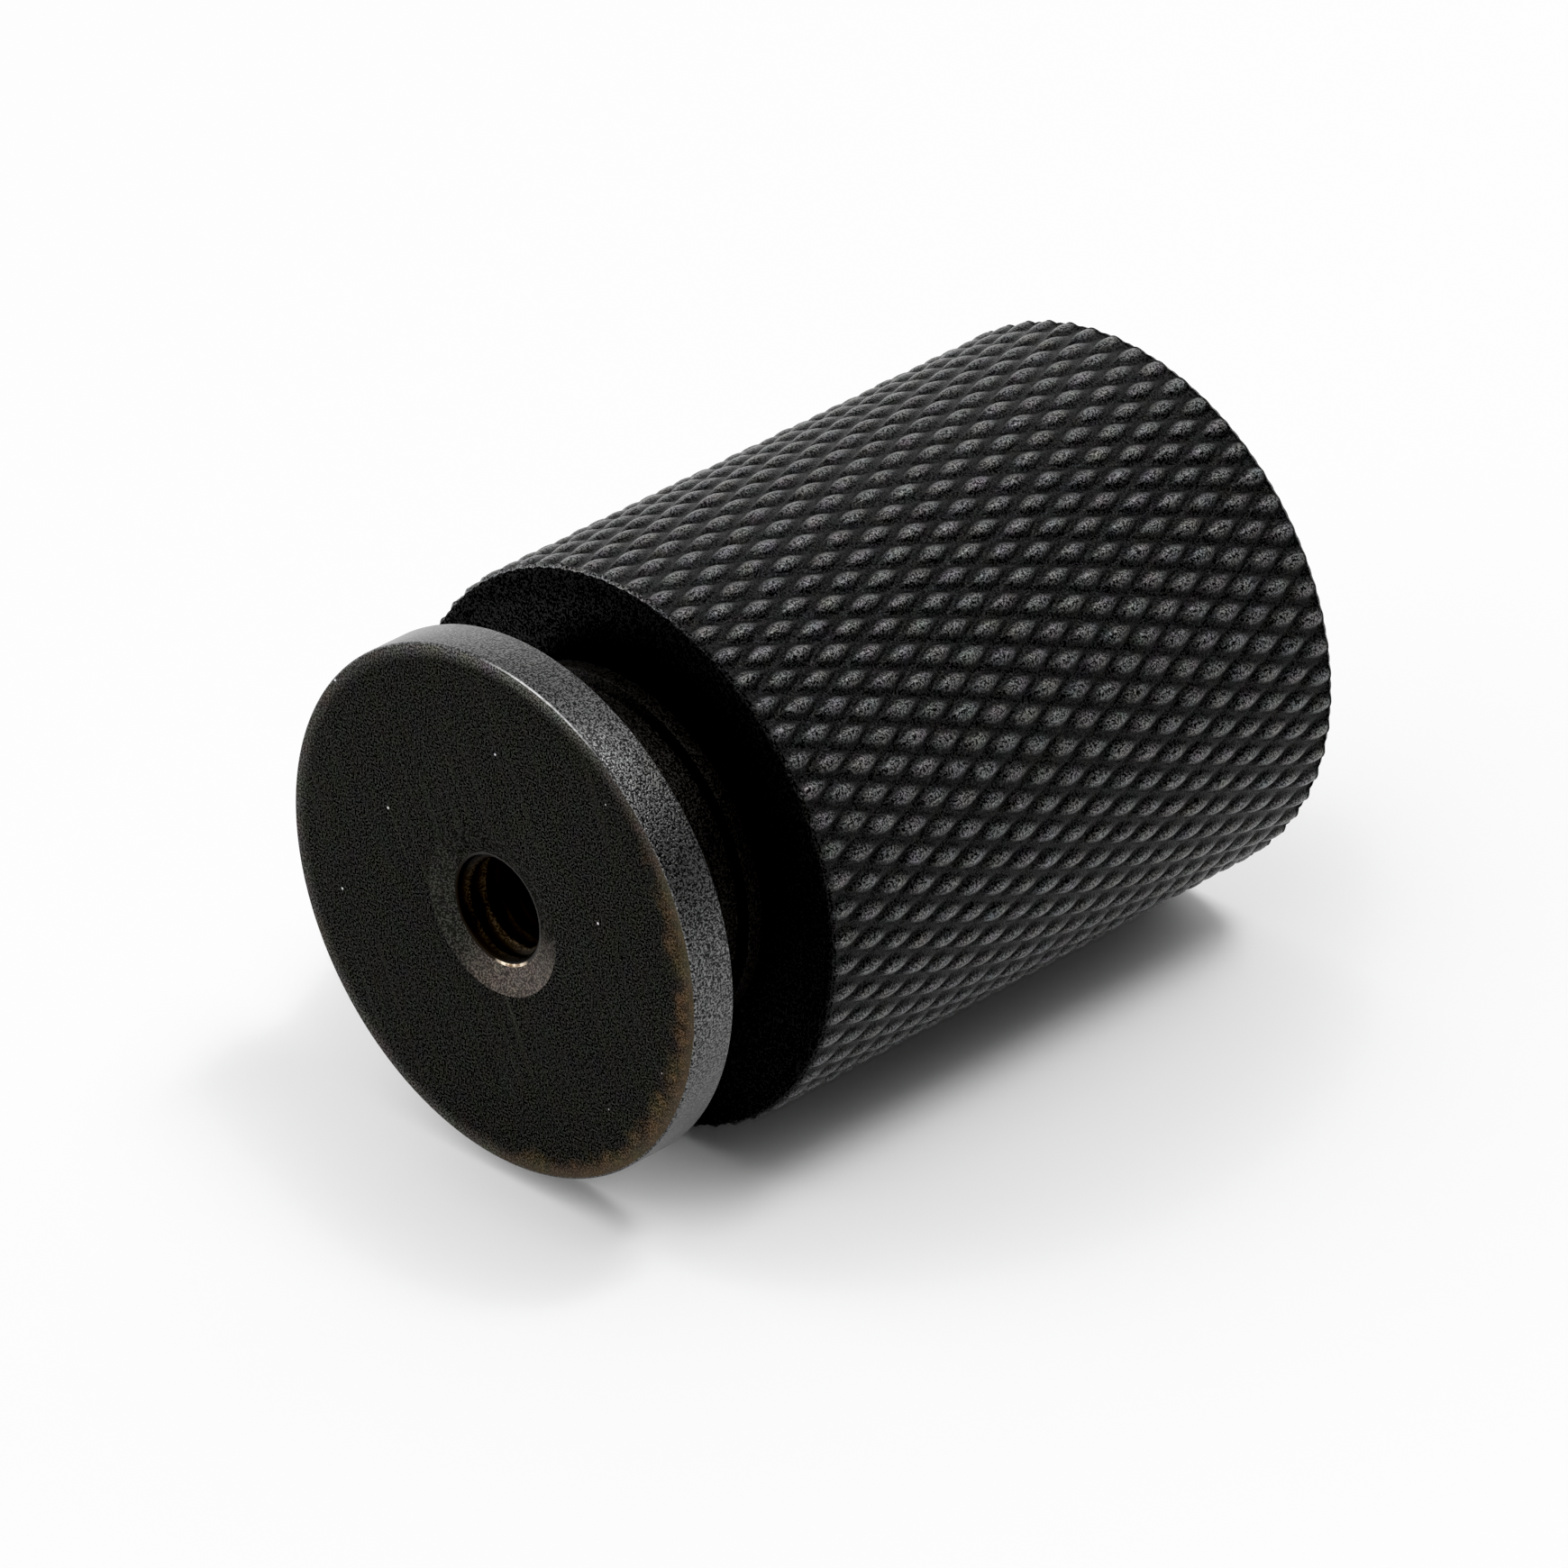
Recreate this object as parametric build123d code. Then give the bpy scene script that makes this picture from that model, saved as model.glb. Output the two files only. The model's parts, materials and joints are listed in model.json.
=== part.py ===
from build123d import *
import os
from math import cos, pi, radians, sin, tan

# Cabinet knob: one solid piece of brass turned from the bar.
# A thin round base sits flat on a door or drawer front. A narrower neck leaves a groove for the
# fingertips behind a cylindrical grip, whose whole length is cut with a diamond knurl. A blind
# hole, tapped M4, takes the fixing screw from behind.
#
# Frame: the origin is the centre of the mounting face, which looks along +Y at the door. The knob
# stands out of the door along -Y, and +Z is up. All sizes are in millimetres.

# Base
base_diameter = 20.0
base_thickness = 1.84
base_edge_break = 0.08          # small 45 degree chamfer on both rims of the base

# Neck and the shoulder where it meets the grip
neck_diameter = 12.8
shoulder_diameter = 14.0
shoulder_thickness = 0.6
groove_width = 4.36             # clear distance between the base and the grip

# Knurled grip
grip_diameter = 21.3            # over the tips of the diamonds
grip_length = 25.3
grip_end_chamfer = 0.17         # how far the tips are turned down at either end
knurl_tooth_pitch = 1.134       # from tip to tip round the grip
knurl_row_pitch = 1.27          # from one ring of tips to the next, along the grip
knurl_depth = 0.26              # from the tips down to the bottom of the grooves
knurl_turn = 0.5                # degrees from +X up to the first tip

# Tapped hole
thread_core_diameter = 3.3      # what an M4 tap leaves at its crests
thread_depth = 12.0
drill_point_angle = 118.0
countersink_diameter = 6.3
countersink_depth = 0.28
thread_mouth_diameter = 4.1     # where the countersink ends and the thread's lead-in starts


def turned(outline):
    """Solid turned about the knob's axis from (radius, y) corners."""
    profile = make_face(Polyline(*outline, close=True))
    return revolve(profile, axis=Axis.Y)


def base_and_neck():
    """Base, neck and shoulder, with a stub that runs on halfway into the grip."""
    rim = base_diameter / 2
    neck = neck_diameter / 2
    shoulder = shoulder_diameter / 2
    grip_face = -base_thickness - groove_width
    shoulder_face = grip_face + shoulder_thickness
    stub_end = grip_face - grip_length / 2
    return turned([
        (0, 0),
        (rim - base_edge_break, 0),
        (rim, -base_edge_break),
        (rim, base_edge_break - base_thickness),
        (rim - base_edge_break, -base_thickness),
        (neck, -base_thickness),
        (neck, shoulder_face),
        (shoulder, shoulder_face),
        (shoulder, stub_end),
        (0, stub_end),
    ])


def tapped_hole():
    """Tool body of the blind hole: countersink, thread lead-in, core and drill point."""
    wide = countersink_diameter / 2
    mouth = thread_mouth_diameter / 2
    core = thread_core_diameter / 2
    lead_in_end = -countersink_depth - (mouth - core)
    drill_tip = -thread_depth - core / tan(radians(drill_point_angle / 2))
    return turned([
        (0, 0),
        (wide, 0),
        (mouth, -countersink_depth),
        (core, lead_in_end),
        (core, -thread_depth),
        (0, drill_tip),
    ])


def triangle(*corners):
    """Flat triangular face."""
    return Face(Wire.make_polygon(corners, close=True))


def knurled_grip():
    """Grip whose diamonds are four-sided pyramids between two sets of crossing grooves.

    Places round the grip are counted in half teeth, and places along it in rows of tips. Tips and
    groove crossings alternate both ways, so each cell between four of them is two triangles that
    meet along a stretch of groove.
    """
    tip = grip_diameter / 2
    root = tip - knurl_depth
    end_tip = tip - grip_end_chamfer
    teeth = round(pi * grip_diameter / knurl_tooth_pitch)
    rows = round(grip_length / knurl_row_pitch)
    margin = (grip_length - (rows - 1) * knurl_row_pitch) / 2
    first_face = -base_thickness - groove_width
    last_face = first_face - grip_length
    first_row = first_face - margin
    half_teeth = 2 * teeth

    def at(step, y, radius):
        angle = pi * step / teeth + radians(knurl_turn)
        return Vector(radius * cos(angle), y, radius * sin(angle))

    def node(step, row):
        is_tip = (step + row) % 2 == 0
        return at(step, first_row - row * knurl_row_pitch, tip if is_tip else root)

    faces = []
    for row in range(rows - 1):
        for step in range(half_teeth):
            near, far = node(step, row), node(step, row + 1)
            next_near, next_far = node(step + 1, row), node(step + 1, row + 1)
            if (step + row) % 2 == 0:
                faces.append(triangle(near, far, next_near))
                faces.append(triangle(next_far, next_near, far))
            else:
                faces.append(triangle(near, far, next_far))
                faces.append(triangle(near, next_far, next_near))

    # The grooves run out through the ends, where the tips are turned down.
    run_out = margin / knurl_row_pitch
    rising_tip = min(end_tip, root + run_out * knurl_depth)
    for row, face_y in ((0, first_face), (rows - 1, last_face)):
        rim = []
        for tooth in range(teeth):
            step = 2 * tooth + row % 2
            here, crossing, there = node(step, row), node(step + 1, row), node(step + 2, row)
            full = at(step, face_y, end_tip)
            groove_in = at(step + 1 - run_out, face_y, root)
            rising = at(step + 1, face_y, rising_tip)
            groove_out = at(step + 1 + run_out, face_y, root)
            next_full = at(step + 2, face_y, end_tip)
            faces.append(triangle(here, full, groove_in))
            faces.append(triangle(here, groove_in, crossing))
            faces.append(triangle(crossing, groove_in, rising))
            faces.append(triangle(crossing, rising, groove_out))
            faces.append(triangle(crossing, groove_out, there))
            faces.append(triangle(there, groove_out, next_full))
            rim += [full, groove_in, rising, groove_out]
        faces.append(Face(Wire.make_polygon(rim, close=True)))
    return Solid(Shell(faces))


knob = knurled_grip() + base_and_neck() - tapped_hole()

os.makedirs("parts", exist_ok=True)
export_step(knob, "parts/knob.step")
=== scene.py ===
import json
import math

import bpy
import numpy as np
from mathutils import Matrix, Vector


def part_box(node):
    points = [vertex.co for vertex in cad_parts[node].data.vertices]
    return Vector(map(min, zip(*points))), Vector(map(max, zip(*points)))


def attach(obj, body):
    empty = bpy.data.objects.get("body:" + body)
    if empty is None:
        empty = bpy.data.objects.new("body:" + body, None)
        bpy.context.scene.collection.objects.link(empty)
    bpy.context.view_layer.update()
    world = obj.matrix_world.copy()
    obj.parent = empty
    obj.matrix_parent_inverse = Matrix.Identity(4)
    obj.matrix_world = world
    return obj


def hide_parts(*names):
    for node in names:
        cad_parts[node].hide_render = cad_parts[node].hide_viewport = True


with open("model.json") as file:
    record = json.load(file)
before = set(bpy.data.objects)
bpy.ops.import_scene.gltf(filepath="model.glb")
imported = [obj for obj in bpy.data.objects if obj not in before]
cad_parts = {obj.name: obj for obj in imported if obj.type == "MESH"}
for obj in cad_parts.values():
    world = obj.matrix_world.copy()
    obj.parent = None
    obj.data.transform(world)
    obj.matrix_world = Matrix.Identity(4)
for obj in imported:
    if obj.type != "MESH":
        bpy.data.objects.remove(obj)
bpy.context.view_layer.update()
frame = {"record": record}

# A blackened brass cabinet knob with a diamond-knurled grip. It lies on its side: its axis runs
# along Y, the mounting face looks along +Y, and the grip stands out along -Y. Sizes in millimetres
# are turned into metres by MM.

MM = 0.001

lowest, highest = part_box("knob")
mounts = {mount["name"]: mount for mount in frame["record"]["mounts"]}

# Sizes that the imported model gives
TIP = (highest.x - lowest.x) / 2            # radius over the tips of the diamonds
GRIP_END = lowest.y                         # free end of the grip
THREAD_CORE = mounts["screw_hole"]["dims"]["r_mm"] * MM

# Sizes repeated from the model's source
BASE = 10.0 * MM
BASE_BACK = -1.84 * MM
NECK = 6.4 * MM
SHOULDER = 7.0 * MM
SHOULDER_FACE = -5.6 * MM
GRIP_BACK = -6.2 * MM
THREAD_END = -12.0 * MM
COUNTERSINK = 3.15 * MM
COUNTERSINK_DEPTH = 0.28 * MM
THREAD_MOUTH = 2.05 * MM
KNURL_ROW = 1.27 * MM
KNURL_DEPTH = 0.26 * MM
KNURL_TURN = math.radians(0.5)              # from +X up to the first tip
TEETH = 59                                  # diamonds round the grip
ROWS = 20                                   # rows of diamonds along it

# Sizes that only the dressed model has
EDGE_ROUND = 0.07 * MM                      # rims of the base
CORNER_ROUND = 0.02 * MM                    # corners of the neck and shoulder
LIP = 0.10 * MM                             # bare edge where the countersink meets the thread
SINK_EDGE = 0.03 * MM                       # half the width of the countersink's outer edge
THREAD_PITCH = 0.7 * MM
THREAD_ROOT = 2.03 * MM
FLANK_SLOPE = 2.6                           # rise of the thread's flank over a whole pitch, in depths
ROOT_FLAT = 0.3                             # sinking of the flanks, for a flat root, in depths
LEAD_IN_SLOPE = 0.6                         # narrowing of the thread's mouth over its depth
DRILL_POINT = 1.0 * MM                      # length of the drill's point
END_BREAK = 0.14 * MM                       # broken edges at both ends of the grip
RUN_OUT = 0.3 * MM                          # length over which the grooves get shallow at the ends
END_DEPTH = 0.35                            # share of the grooves' depth left at the very end
UNEVEN = 0.035                              # spread of the diamonds' heights, in groove depths
GRAIN = 0.075 * MM                          # dots of the blackened surface

# Mesh
STEPS = 5                                   # cells to half a tooth, and to a row
GRIP_COLUMNS = 2 * TEETH * STEPS
TURNED_COLUMNS = GRIP_COLUMNS // 2
HOLE_COLUMNS = TURNED_COLUMNS // 5
THREAD_RINGS = 8                            # rings to one turn of the thread


# ---------------------------------------------------------------- knurl

def knurl_height():
    """Height of the knurl from 0 in a groove to 1 on a tip, as a function of place.

    Places round the grip are counted in half teeth and places along it in rows of tips. Each
    diamond stands a little higher or lower than its neighbours, as rolled knurls do.
    """
    wander = np.random.default_rng(7).normal(0.0, 1.0, (2 * TEETH, 2 * ROWS))

    def height(step, row):
        rising, falling = step + row, step - row
        rising_tip, falling_tip = 2 * np.round(rising / 2), 2 * np.round(falling / 2)
        off_rising, off_falling = np.abs(rising - rising_tip), np.abs(falling - falling_tip)
        centre_step = np.round((rising_tip + falling_tip) / 2).astype(int) % (2 * TEETH)
        centre_row = np.round((rising_tip - falling_tip) / 2).astype(int) % (2 * ROWS)
        uneven = 1 + UNEVEN * wander[centre_step, centre_row]
        dome = (1 - off_rising ** 2) * (1 - off_falling ** 2)
        return np.clip(dome * uneven, 0, 1)

    return height


def grip_rings():
    """(y, radii) of each ring of the knurled side, from the back of the grip to its free end."""
    height = knurl_height()
    margin = ((GRIP_BACK - GRIP_END) - (ROWS - 1) * KNURL_ROW) / 2     # past the last tips
    steps = np.arange(GRIP_COLUMNS) / STEPS
    first = -margin / KNURL_ROW
    last = ROWS - 1 - first
    edge = END_BREAK / KNURL_ROW
    inner = np.arange(-2, (ROWS - 1) * STEPS + 3) / STEPS           # two cells past the last tips
    places = [first, first + edge, *inner, last - edge, last]
    rings = []
    for place in places:
        y = GRIP_BACK - margin - place * KNURL_ROW
        from_end = min(GRIP_BACK - y, y - GRIP_END)
        depth = KNURL_DEPTH * min(1.0, END_DEPTH + (1 - END_DEPTH) * from_end / RUN_OUT)
        knurl = TIP - depth * (1 - height(steps, np.full_like(steps, place)))
        rings.append((y, knurl - max(0.0, END_BREAK - from_end)))
    return rings


# ---------------------------------------------------------------- thread

def thread_rings():
    """(y, radii) of each ring of the hole, from the countersink down to the end of the thread."""
    columns = np.arange(HOLE_COLUMNS) / HOLE_COLUMNS
    rings = []
    count = round((-COUNTERSINK_DEPTH - THREAD_END) / THREAD_PITCH * THREAD_RINGS)
    for i in range(count + 1):
        y = -COUNTERSINK_DEPTH + (THREAD_END + COUNTERSINK_DEPTH) * i / count
        turn = (y / THREAD_PITCH + columns) % 1
        flank = np.clip(np.abs(turn - 0.5) * FLANK_SLOPE - ROOT_FLAT, 0, 1)
        radii = THREAD_CORE + (THREAD_ROOT - THREAD_CORE) * (1 - flank)
        lead_in = THREAD_MOUTH - LEAD_IN_SLOPE * (-COUNTERSINK_DEPTH - y)
        rings.append((y, np.maximum(radii, lead_in)))
    return rings


# ---------------------------------------------------------------- the whole surface

def corner(radius, y, turn_from, turn_to, size, points=5):
    """Points of a rounded corner of the outline: an arc about (radius, y), in degrees."""
    angles = [turn_from + (turn_to - turn_from) * i / (points - 1) for i in range(points)]
    return [
        (y + size * math.sin(math.radians(a)), radius + size * math.cos(math.radians(a)))
        for a in angles
    ]


class Surface:
    """Mesh made of rings about the knob's axis. A ring may have more columns than the next one."""

    def __init__(self):
        self.vertices = []
        self.faces = []
        self.slots = []
        self.count = 0

    def ring(self, y, radii, columns):
        angles = KNURL_TURN + 2 * math.pi * np.arange(columns) / columns
        radii = np.broadcast_to(radii, (columns,))
        points = np.stack([radii * np.cos(angles), np.full(columns, y), radii * np.sin(angles)], 1)
        self.vertices.append(points)
        start = self.count
        self.count += columns
        return start, columns

    def point(self, y):
        self.vertices.append(np.array([[0.0, y, 0.0]]))
        self.count += 1
        return self.count - 1

    def add(self, corners, slot):
        self.faces.append(corners)
        self.slots.append(slot)

    def join(self, first, second, slot, diagonal=None):
        """Faces between two rings. Where the columns differ, each cell of the coarse ring takes
        a fan of the fine ring's. diagonal(column) says which way a square cell is cut, if it is."""
        start_a, count_a = first
        start_b, count_b = second
        if count_a < count_b:
            for corners in self.fan(start_b, count_b, start_a, count_a):
                self.add(corners[::-1], slot)
            return
        if count_a > count_b:
            for corners in self.fan(start_a, count_a, start_b, count_b):
                self.add(corners, slot)
            return
        for i in range(count_a):
            j = (i + 1) % count_a
            a, b, c, d = start_a + i, start_a + j, start_b + j, start_b + i
            if diagonal is None:
                self.add((a, b, c, d), slot)
            elif diagonal(i):
                self.add((a, b, c), slot)
                self.add((a, c, d), slot)
            else:
                self.add((a, b, d), slot)
                self.add((b, c, d), slot)

    @staticmethod
    def fan(fine, fine_count, coarse, coarse_count):
        """Faces from each cell of a coarse ring to its share of a fine ring's cells."""
        share = fine_count // coarse_count
        half = share // 2
        for j in range(coarse_count):
            here, there = coarse + j, coarse + (j + 1) % coarse_count
            cells = [fine + (j * share + i) % fine_count for i in range(share + 1)]
            for i in range(share):
                if i == half:
                    yield (cells[i], cells[i + 1], there, here)
                else:
                    yield (cells[i], cells[i + 1], here if i < half else there)

    def close(self, ring, centre, slot, towards_centre=True):
        """Triangles from a ring to the point at its centre."""
        start, count = ring
        for i in range(count):
            a, b = start + i, start + (i + 1) % count
            self.add((a, b, centre) if towards_centre else (b, a, centre), slot)

    def chain(self, rings, slot, columns):
        """Rings joined one after another. Gives the first and the last."""
        made = [self.ring(y, radius, columns) for y, radius in rings]
        for first, second in zip(made, made[1:]):
            self.join(first, second, slot)
        return made[0], made[-1]

    def to_object(self, name, materials):
        mesh = bpy.data.meshes.new(name)
        mesh.from_pydata(np.concatenate(self.vertices).tolist(), [], self.faces)
        for material in materials:
            mesh.materials.append(material)
        mesh.polygons.foreach_set("material_index", self.slots)
        mesh.polygons.foreach_set("use_smooth", [True] * len(self.faces))
        mesh.update()
        obj = bpy.data.objects.new(name, mesh)
        bpy.context.scene.collection.objects.link(obj)
        return obj


# Places of the materials, in the order of `finishes` below
(
    SLOT_GRIP, SLOT_RIM, SLOT_NECK, SLOT_BACK, SLOT_FACE,
    SLOT_SINK, SLOT_LIP, SLOT_THREAD, SLOT_END,
) = range(9)


def build_knob(materials):
    """The knob as one closed surface, from the centre of the free end to the drill's point."""
    surface = Surface()

    # Free end
    centre = surface.point(GRIP_END)
    inner = surface.ring(GRIP_END, TIP * 0.3, HOLE_COLUMNS)
    middle = surface.ring(GRIP_END, TIP * 0.7, TURNED_COLUMNS)
    outer = surface.ring(GRIP_END, TIP - 2 * KNURL_DEPTH, GRIP_COLUMNS)
    surface.close(inner, centre, SLOT_END, towards_centre=False)
    surface.join(inner, middle, SLOT_END)
    surface.join(middle, outer, SLOT_END)

    # Knurled side, from the free end to the back
    rings = grip_rings()[::-1]
    previous = outer
    for index, (y, radii) in enumerate(rings):
        current = surface.ring(y, radii, GRIP_COLUMNS)
        row = (ROWS * STEPS - index - 1) // STEPS

        def along_groove(column, row=row):
            return (column // STEPS + row) % 2 == 0

        if index == 0:
            surface.join(previous, current, SLOT_END)
        else:
            surface.join(previous, current, SLOT_GRIP, along_groove)
        previous = current
    back_rim = previous

    # Back of the grip
    grip_back = [
        (GRIP_BACK, TIP - 2 * KNURL_DEPTH),
        (GRIP_BACK, SHOULDER + CORNER_ROUND),
        *corner(SHOULDER + CORNER_ROUND, GRIP_BACK + CORNER_ROUND, -90, -180, CORNER_ROUND),
    ]
    first, last = surface.chain(grip_back, SLOT_BACK, TURNED_COLUMNS)
    surface.join(back_rim, first, SLOT_BACK)

    # Shoulder, neck and back of the base
    neck = [
        *corner(SHOULDER - CORNER_ROUND, SHOULDER_FACE - CORNER_ROUND, 0, 90, CORNER_ROUND),
        *corner(NECK + CORNER_ROUND, SHOULDER_FACE + CORNER_ROUND, -90, -180, CORNER_ROUND),
        *corner(NECK + CORNER_ROUND, BASE_BACK - CORNER_ROUND, 180, 90, CORNER_ROUND),
        (BASE_BACK, (NECK + BASE) / 2),
    ]
    first, neck_end = surface.chain(neck, SLOT_NECK, TURNED_COLUMNS)
    surface.join(last, first, SLOT_NECK)

    # Rim of the base
    rim = [
        *corner(BASE - EDGE_ROUND, BASE_BACK + EDGE_ROUND, -90, 0, EDGE_ROUND),
        (BASE_BACK / 2, BASE),
        *corner(BASE - EDGE_ROUND, -EDGE_ROUND, 0, 90, EDGE_ROUND),
    ]
    first, rim_end = surface.chain(rim, SLOT_RIM, TURNED_COLUMNS)
    surface.join(neck_end, first, SLOT_NECK)

    # Mounting face
    face = [(0.0, BASE * 0.8), (0.0, BASE * 0.5)]
    first, last = surface.chain(face, SLOT_FACE, TURNED_COLUMNS)
    surface.join(rim_end, first, SLOT_FACE)
    sink = surface.ring(0.0, COUNTERSINK + SINK_EDGE, HOLE_COLUMNS)
    surface.join(last, sink, SLOT_FACE)

    # Countersink, the lip where the thread starts, thread and drill point
    cone = [
        (-SINK_EDGE / 3, COUNTERSINK - SINK_EDGE),
        (-COUNTERSINK_DEPTH + LIP * 0.25, THREAD_MOUTH + LIP),
    ]
    first, last = surface.chain(cone, SLOT_SINK, HOLE_COLUMNS)
    surface.join(sink, first, SLOT_SINK)
    first, thread_end = surface.chain(thread_rings(), SLOT_THREAD, HOLE_COLUMNS)
    surface.join(last, first, SLOT_LIP)
    tip = surface.point(THREAD_END - DRILL_POINT)
    surface.close(thread_end, tip, SLOT_THREAD)
    return surface.to_object("knurled_knob", materials)


# ---------------------------------------------------------------- materials

class Nodes:
    """Shorthand for building a node tree."""

    def __init__(self, tree):
        self.tree = tree

    def new(self, kind, **settings):
        node = self.tree.nodes.new(kind)
        for key, value in settings.items():
            setattr(node, key, value)
        return node

    def link(self, value, socket):
        if isinstance(value, bpy.types.NodeSocket):
            self.tree.links.new(value, socket)
        else:
            socket.default_value = value

    def math(self, operation, *values):
        node = self.new("ShaderNodeMath", operation=operation)
        for value, socket in zip(values, node.inputs):
            self.link(value, socket)
        return node.outputs[0]

    def ramp(self, value, low, high, to_low=0.0, to_high=1.0):
        """A smooth step from `to_low` where the value is `low` to `to_high` where it is `high`."""
        node = self.new("ShaderNodeMapRange", interpolation_type="SMOOTHSTEP")
        names = ("Value", "From Min", "From Max", "To Min", "To Max")
        for key, number in zip(names, (value, low, high, to_low, to_high)):
            self.link(number, node.inputs[key])
        return node.outputs["Result"]

    def split(self, vector):
        node = self.new("ShaderNodeSeparateXYZ")
        self.link(vector, node.inputs[0])
        return node.outputs

    def mix(self, share, first, second):
        """The first colour where the share is 0, and the second where it is 1."""
        node = self.new("ShaderNodeMix", data_type="RGBA")
        self.link(share, node.inputs["Factor"])
        self.link(first, node.inputs[6])
        self.link(second, node.inputs[7])
        return node.outputs[2]


class Finish(Nodes):
    """A material whose patterns are placed by the object's own coordinates."""

    def __init__(self, name):
        self.material = bpy.data.materials.new(name)
        self.material.use_nodes = True
        super().__init__(self.material.node_tree)
        self.shader = self.tree.nodes["Principled BSDF"]
        self.place = self.new("ShaderNodeTexCoord").outputs["Object"]
        self.x, self.y, self.z = self.split(self.place)
        squares = [self.math("MULTIPLY", side, side) for side in (self.x, self.z)]
        self.radius = self.math("SQRT", self.math("ADD", *squares))

    def set(self, **values):
        for name, value in values.items():
            self.link(value, self.shader.inputs[name.replace("_", " ")])

    def facing(self, degrees):
        """1 on the side of the knob at this angle from +X towards +Z, and -1 on the far side."""
        turn = math.radians(degrees)
        across = self.math("MULTIPLY", self.x, math.cos(turn))
        up = self.math("MULTIPLY", self.z, math.sin(turn))
        return self.math("DIVIDE", self.math("ADD", across, up), self.radius)

    def noise_node(self, size, stretch=(1, 1, 1), turn=0.0, detail=3.0, roughness=0.55):
        """Noise whose blobs are about `size` metres across, stretched along turned axes."""
        mapping = self.new("ShaderNodeMapping", vector_type="TEXTURE")
        self.link(self.place, mapping.inputs["Vector"])
        mapping.inputs["Rotation"].default_value = (0, turn, 0)
        mapping.inputs["Scale"].default_value = [size * s for s in stretch]
        node = self.new("ShaderNodeTexNoise")
        node.inputs["Scale"].default_value = 1.0
        node.inputs["Detail"].default_value = detail
        node.inputs["Roughness"].default_value = roughness
        self.link(mapping.outputs["Vector"], node.inputs["Vector"])
        return node

    def noise(self, size, **settings):
        return self.noise_node(size, **settings).outputs["Fac"]

    def grain(self):
        """The fine grain of the whole knob: 0 on dark dots and 1 on light ones."""
        return self.ramp(self.noise(GRAIN, detail=1.0, roughness=0.6), 0.4, 0.68)

    def tinted(self, colour, size, strength):
        """The colour, with faint blobs of other hues in it."""
        blobs = self.noise_node(size, detail=1.0).outputs["Color"]
        shift = self.new("ShaderNodeVectorMath", operation="MULTIPLY_ADD")
        self.link(blobs, shift.inputs[0])
        shift.inputs[1].default_value = [strength] * 3
        shift.inputs[2].default_value = [1 - strength / 2] * 3
        product = self.new("ShaderNodeVectorMath", operation="MULTIPLY")
        self.link(colour, product.inputs[0])
        self.link(shift.outputs[0], product.inputs[1])
        return product.outputs[0]

    def bump(self, height, depth, under=None):
        node = self.new("ShaderNodeBump")
        node.inputs["Strength"].default_value = 1.0
        node.inputs["Distance"].default_value = depth
        self.link(height, node.inputs["Height"])
        if under is not None:
            self.link(under, node.inputs["Normal"])
        return node.outputs["Normal"]


def grey(value, warmth=0.0):
    return (value * (1 + warmth), value, value * (1 - warmth), 1)


def blackened_grip():
    """Dull black in the grooves and satin grey on the rubbed tips, with a painted highlight in the
    same grey on the upper part of the rear edge.
    """
    finish = Finish("blackened_grip")
    grain = finish.grain()
    rubbed = finish.ramp(finish.radius, TIP - 0.64 * KNURL_DEPTH, TIP + 0.05 * KNURL_DEPTH)
    # Painted highlight: the rear edge of the grip is painted satin grey on its upper side only.
    at_end = finish.ramp(finish.y, GRIP_BACK - 0.25 * MM, GRIP_BACK - 0.1 * MM)
    above = finish.ramp(finish.facing(68), 0.7, 1.0)
    rear_edge_painted_highlight = finish.math("MULTIPLY", at_end, above)
    wear_and_painted_highlight = finish.math("MAXIMUM", rubbed, rear_edge_painted_highlight)
    black = finish.mix(grain, grey(0.003), grey(0.02))
    tip = finish.mix(grain, grey(0.014), grey(0.2))
    finish.set(
        Base_Color=finish.tinted(finish.mix(wear_and_painted_highlight, black, tip), 0.9 * MM, 0.3),
        Metallic=1.0,
        Specular_Tint=finish.mix(wear_and_painted_highlight, grey(0.8), grey(1.0)),
        Roughness=finish.ramp(grain, 0.0, 1.0, 0.26, 0.44),
        Normal=finish.bump(grain, 0.012 * MM),
    )
    return finish.material


def satin_rim():
    """Rim of the base: grained satin grey, painted lighter on the side that faces 160 degrees, with a
    painted highlight line in patches on top, next to the face.
    """
    finish = Finish("satin_rim")
    cloud = finish.noise(1.5 * MM)
    grain = finish.grain()
    # Painted light: the satin grey is painted lighter on the side that faces 160 degrees.
    lit = finish.ramp(finish.facing(160), 0.64, 0.95)
    satin = finish.mix(grain, grey(0.008), finish.mix(lit, grey(0.118), grey(0.165)))
    # Painted highlight: a bright line on top of the rim, next to the face, broken into patches.
    edge = finish.ramp(finish.y, -0.05 * MM, -0.02 * MM)
    above = finish.ramp(finish.facing(105), 0.95, 1.0, 0.0, 0.8)
    patches = finish.ramp(finish.noise(0.5 * MM), 0.35, 0.6, 0.3, 1.0)
    wear_and_painted_highlight = finish.math("MULTIPLY", edge, finish.math("MULTIPLY", above, patches))
    colour = finish.mix(wear_and_painted_highlight, satin, grey(0.5))
    finish.set(
        Base_Color=finish.tinted(colour, 1.2 * MM, 0.08),
        Metallic=1.0,
        Roughness=finish.ramp(cloud, 0.3, 0.7, 0.28, 0.33),
        Normal=finish.bump(grain, 0.008 * MM),
    )
    return finish.material


def dark_neck():
    """Neck, shoulder and back of the base: grained black, a touch brown, with faint turning marks."""
    finish = Finish("dark_neck")
    marks = finish.noise(0.25 * MM, stretch=(30, 1, 30))
    grain = finish.grain()
    finish.set(
        Base_Color=finish.mix(grain, grey(0.001, 0.1), grey(0.03, 0.1)),
        Metallic=1.0,
        Roughness=0.5,
        Normal=finish.bump(marks, 0.004 * MM, finish.bump(grain, 0.01 * MM)),
    )
    return finish.material


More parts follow.
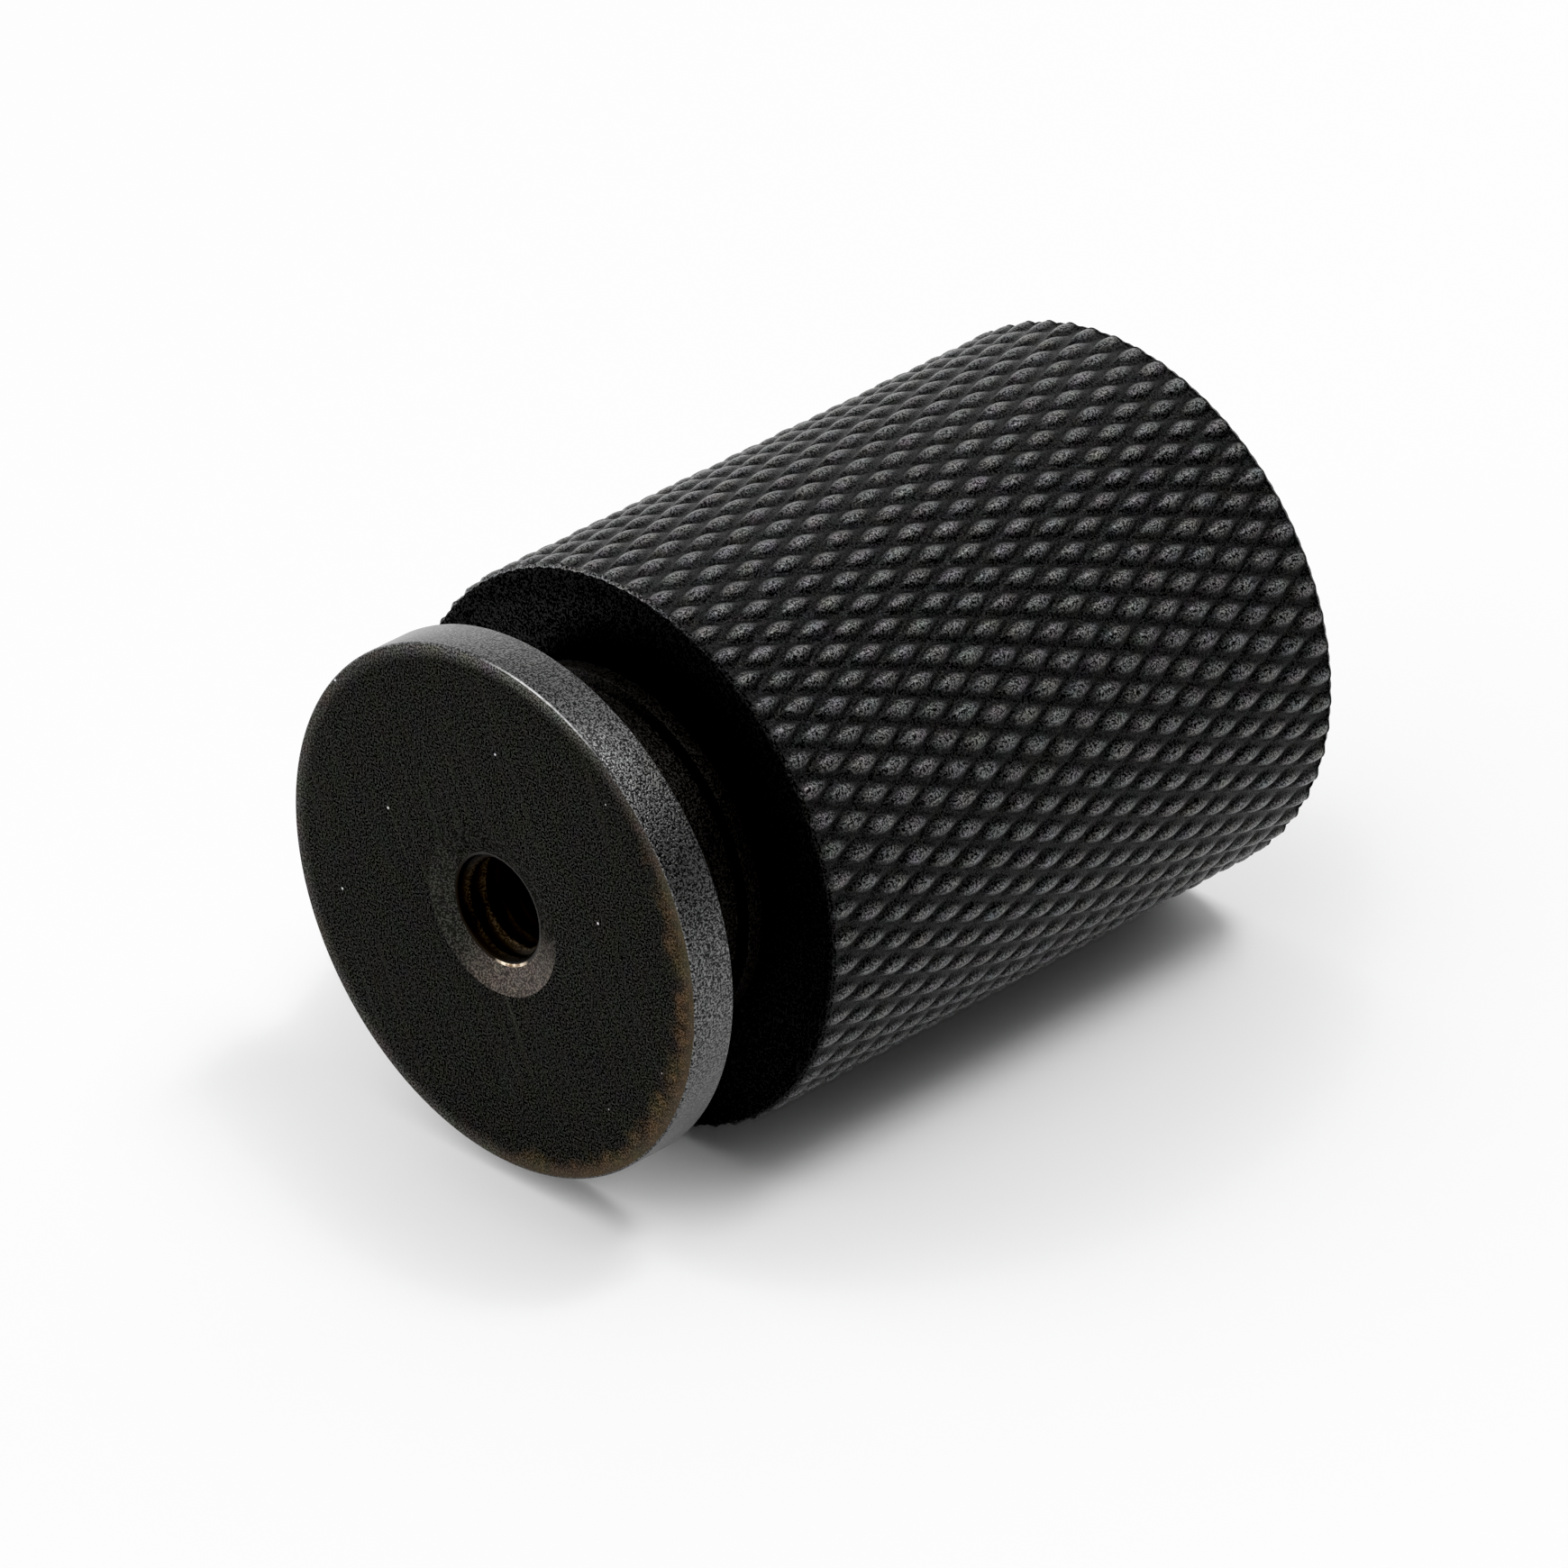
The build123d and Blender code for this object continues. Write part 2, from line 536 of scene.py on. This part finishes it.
def turned_face(name, dark, light):
    """Dull black end face of the grip, with faint turning rings."""
    finish = Finish(name)
    grain = finish.grain()
    rings = finish.math("SINE", finish.math("MULTIPLY", finish.radius, 2 * math.pi / (0.3 * MM)))
    finish.set(
        Base_Color=finish.mix(grain, grey(dark), grey(light)),
        Specular_IOR_Level=finish.ramp(grain, 0.0, 1.0, 0.0, 0.03),
        Roughness=0.47,
        Normal=finish.bump(rings, 0.001 * MM),
    )
    return finish.material


def grip_back_painted_shade():
    """Back of the grip: the same turned face as the free end, with painted shade that makes it darker.
    """
    return turned_face("grip_back_painted_shade", 0.0008, 0.005)


def free_end():
    """Free end of the grip, a little paler than its back, whose darkness is painted shade."""
    return turned_face("free_end", 0.006, 0.026)


def specks(finish, spacing, size):
    """Up to 1 on a few tiny specks of dust of several sizes, 0 elsewhere."""
    flat = finish.new("ShaderNodeCombineXYZ")
    finish.link(finish.x, flat.inputs["X"])
    finish.link(finish.z, flat.inputs["Y"])
    cells = finish.new("ShaderNodeTexVoronoi", voronoi_dimensions="2D")
    cells.inputs["Scale"].default_value = 1 / spacing
    finish.link(flat.outputs[0], cells.inputs["Vector"])
    pick = finish.ramp(finish.split(cells.outputs["Color"])[0], 0.55, 1.0)
    reach = finish.math("MULTIPLY", pick, size / spacing)
    return finish.ramp(cells.outputs["Distance"], 0.0, reach, pick, 0.0)


def brushed_black(finish, grain, lines):
    """Grained black with brushed lines and a few long scratches in it."""
    scratches = finish.noise(0.16 * MM, stretch=(1, 1, 60), turn=math.radians(27), detail=2.0)
    black = finish.mix(grain, grey(0.0), (0.0175, 0.0178, 0.0153, 1))
    lined = finish.mix(finish.ramp(lines, 0.5, 0.75, 0.0, 0.6), black, (0.012, 0.012, 0.0095, 1))
    scratched = finish.ramp(scratches, 0.64, 0.74, 0.0, 0.4)
    return finish.mix(scratched, lined, (0.03, 0.03, 0.026, 1))


def with_brown_band(finish, grain, below, colour):
    """The colour, with a spotty brown band along the lower part of the rim."""
    patches = finish.noise(0.45 * MM, detail=2.0)
    cloud = finish.noise(1.4 * MM)
    wandering = finish.math("ADD", finish.radius, finish.ramp(cloud, 0.3, 0.7, -0.3 * MM, 0.3 * MM))
    nearer = finish.ramp(finish.facing(190), 0.6, 1.0, 0.0, 0.4 * MM)
    band = finish.ramp(finish.math("ADD", wandering, nearer), BASE - 0.95 * MM, BASE - 0.1 * MM)
    spotty = finish.math("MULTIPLY", band, finish.ramp(patches, 0.38, 0.6, 0.35, 1.0))
    brown = finish.mix(grain, (0.012, 0.008, 0.003, 1), (0.095, 0.063, 0.036, 1))
    return finish.mix(finish.math("MULTIPLY", spotty, below), colour, brown)


def with_worn_edge_and_painted_highlight(finish, grain, below, colour):
    """The colour, rubbed paler next to the rim: brown below, and grey elsewhere, with a painted
    highlight that makes the grey lighter on top.
    """
    edge = finish.ramp(finish.radius, BASE - 0.7 * MM, BASE + 0.1 * MM, 0.0, 0.9)
    # Painted highlight: the rubbed grey is painted lighter on top of the rim.
    above = finish.ramp(finish.facing(90), 0.8, 1.0)
    lighter = finish.mix(above, (0.09, 0.086, 0.078, 1), (0.2, 0.195, 0.18, 1))
    rubbed = finish.mix(grain, (0.014, 0.013, 0.011, 1), lighter)
    return finish.mix(edge, colour, finish.mix(below, rubbed, (0.042, 0.033, 0.022, 1)))


def brushed_face():
    """Mounting face: brushed black, rubbed brown along the lower part of its rim and grey elsewhere
    along it, with a painted highlight on top, and dusty.
    """
    finish = Finish("brushed_face")
    grain = finish.grain()
    lines = finish.noise(0.13 * MM, stretch=(1, 1, 60), turn=math.radians(24), detail=3.0)
    below = finish.ramp(finish.facing(206), 0.2, 0.75)
    colour = brushed_black(finish, grain, lines)
    colour = with_brown_band(finish, grain, below, colour)
    colour = with_worn_edge_and_painted_highlight(finish, grain, below, colour)
    dust = specks(finish, 2.6 * MM, 0.07 * MM)
    finish.set(
        Base_Color=finish.tinted(finish.mix(dust, colour, grey(0.8)), 1.0 * MM, 0.4),
        Specular_IOR_Level=finish.ramp(grain, 0.0, 1.0, 0.0, 0.03),
        Roughness=0.47,
        Normal=finish.bump(lines, 0.003 * MM),
    )
    return finish.material


def countersink():
    """Black like the face above the hole, and cut back to grainy bare metal below it."""
    finish = Finish("countersink")
    grain = finish.grain()
    lighter = finish.ramp(finish.facing(330), 0.0, 1.0, 0.0125, 0.03)
    dull = finish.mix(lighter, grey(0.0), (1.0, 1.0, 0.85, 1))
    black = finish.mix(finish.ramp(grain, 0.0, 1.0, 0.2, 1.0), grey(0.0), dull)
    bare = finish.mix(grain, (0.018, 0.0145, 0.0125, 1), (0.105, 0.086, 0.073, 1))
    below = finish.ramp(finish.facing(243), 0.3, 1.0)
    finish.set(
        Base_Color=finish.tinted(finish.mix(below, black, bare), 0.5 * MM, 0.2),
        Metallic=finish.math("MULTIPLY", below, 0.8),
        Specular_IOR_Level=finish.ramp(grain, 0.0, 1.0, 0.0, 0.03),
        Roughness=0.5,
        Normal=finish.bump(grain, 0.006 * MM),
    )
    return finish.material


def bare_lip():
    """Edge where the thread starts: bright brass below the hole, dull brown above it."""
    finish = Finish("bare_lip")
    patches = finish.noise(0.35 * MM)
    below = finish.ramp(finish.facing(250), 0.9, 1.0)
    bright = finish.mix(finish.ramp(patches, 0.4, 0.6), (0.12, 0.07, 0.035, 1), (0.8, 0.66, 0.5, 1))
    finish.set(
        Base_Color=finish.mix(below, (0.006, 0.0045, 0.003, 1), bright),
        Metallic=1.0,
        Roughness=0.4,
    )
    return finish.material


def thread_wall():
    """Brown crests by the mouth and black in the roots, with painted shade that turns the crests black
    deeper in the hole.
    """
    finish = Finish("thread_wall")
    grain = finish.grain()
    crest = finish.ramp(finish.radius, THREAD_ROOT - 0.05 * MM, THREAD_CORE + 0.1 * MM)
    # Painted shade: the crests are painted black deeper in the hole.
    outside_painted_depth_shade = finish.ramp(finish.y, -2.2 * MM, -0.3 * MM)
    brown = finish.mix(grain, (0.004, 0.0025, 0.001, 1), (0.045, 0.03, 0.016, 1))
    finish.set(
        Base_Color=finish.mix(finish.math("MULTIPLY", crest, outside_painted_depth_shade), (0.003, 0.002, 0.001, 1), brown),
        Metallic=1.0,
        Roughness=0.4,
    )
    return finish.material


# ---------------------------------------------------------------- floor, light and camera

def floor():
    half = 3.0
    z = lowest.z
    corners = [(-half, -half, z), (half, -half, z), (half, half, z), (-half, half, z)]
    mesh = bpy.data.meshes.new("floor")
    mesh.from_pydata(corners, [], [(0, 1, 2, 3)])
    obj = bpy.data.objects.new("floor", mesh)
    bpy.context.scene.collection.objects.link(obj)
    finish = Finish("white_floor")
    finish.set(Base_Color=grey(0.93), Roughness=0.6)
    mesh.materials.append(finish.material)


def softbox():
    """A soft box over the knob, a little to the -X and -Y sides."""
    distance = 0.6
    lean_x, lean_y = math.radians(-19), math.radians(-13)
    light = bpy.data.lights.new("softbox", "AREA")
    light.shape = "RECTANGLE"
    light.size, light.size_y = 0.34, 0.12
    light.energy = 1.8
    obj = bpy.data.objects.new("softbox", light)
    bpy.context.scene.collection.objects.link(obj)
    centre = (lowest + highest) / 2
    away = Vector((math.tan(lean_x), math.tan(lean_y), 1.0)).normalized()
    obj.location = centre + away * distance
    obj.rotation_euler = away.to_track_quat("Z", "Y").to_euler()


def surroundings():
    """White walls, brighter low down and on the +Y side, a white ceiling, and a dark room low on
    the -X side. The camera sees white."""
    world = bpy.data.worlds.new("studio")
    bpy.context.scene.world = world
    world.use_nodes = True
    nodes = Nodes(world.node_tree)
    background = world.node_tree.nodes["Background"]
    background.inputs["Color"].default_value = (1, 1, 1, 1)
    x, y, z = nodes.split(nodes.new("ShaderNodeTexCoord").outputs["Generated"])
    side = nodes.math("ADD", x, nodes.math("MULTIPLY", z, 0.5))
    lit = nodes.ramp(side, -0.3, 0.1, 0.07, 1.0)
    by_height = nodes.ramp(z, 0.25, 0.8, 1.9, 0.9)
    by_side = nodes.ramp(y, -0.2, 0.3, 1.0, 1.6)
    walls = nodes.math("MULTIPLY", nodes.math("MULTIPLY", lit, by_height), by_side)
    seen = nodes.new("ShaderNodeLightPath").outputs["Is Camera Ray"]
    nodes.link(nodes.math("MAXIMUM", walls, seen), background.inputs["Strength"])


def tone():
    """A film's soft shoulder, so that the lit floor stays just under pure white."""
    brightest = 2.0
    shoulder = ((0.3, 0.3), (0.8, 0.7), (1.0, 0.79), (1.08, 0.84), (1.18, 0.925), (1.3, 0.965))
    view = bpy.context.scene.view_settings
    view.view_transform = "Standard"
    view.use_curve_mapping = True
    mapping = view.curve_mapping
    mapping.black_level = (0.002, 0.002, 0.002)
    mapping.white_level = (brightest, brightest, brightest)
    mapping.extend = "HORIZONTAL"
    curve = mapping.curves[3]
    for light, shown in shoulder:
        curve.points.new(light / brightest, shown)
    curve.points[-1].location = (1.0, 0.99)
    mapping.update()


def camera():
    azimuth, elevation = math.radians(224.88), math.radians(30.46)
    aim = Vector((0.0, -14.32 * MM, -0.81 * MM))
    distance = 431.5 * MM
    back = Vector((
        math.sin(azimuth) * math.cos(elevation),
        -math.cos(azimuth) * math.cos(elevation),
        math.sin(elevation),
    ))
    data = bpy.data.cameras.new("camera")
    data.sensor_width = 36.0
    data.lens = 279.9
    data.clip_start, data.clip_end = 0.01, 20.0
    obj = bpy.data.objects.new("camera", data)
    obj.location = aim + back * distance
    obj.rotation_euler = back.to_track_quat("Z", "Y").to_euler()
    bpy.context.scene.collection.objects.link(obj)
    bpy.context.scene.camera = obj


finishes = (
    blackened_grip, satin_rim, dark_neck, grip_back_painted_shade,
    brushed_face, countersink, bare_lip, thread_wall, free_end,
)
knob = build_knob([finish() for finish in finishes])
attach(knob, "root")
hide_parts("knob")

floor()
softbox()
surroundings()
tone()
camera()
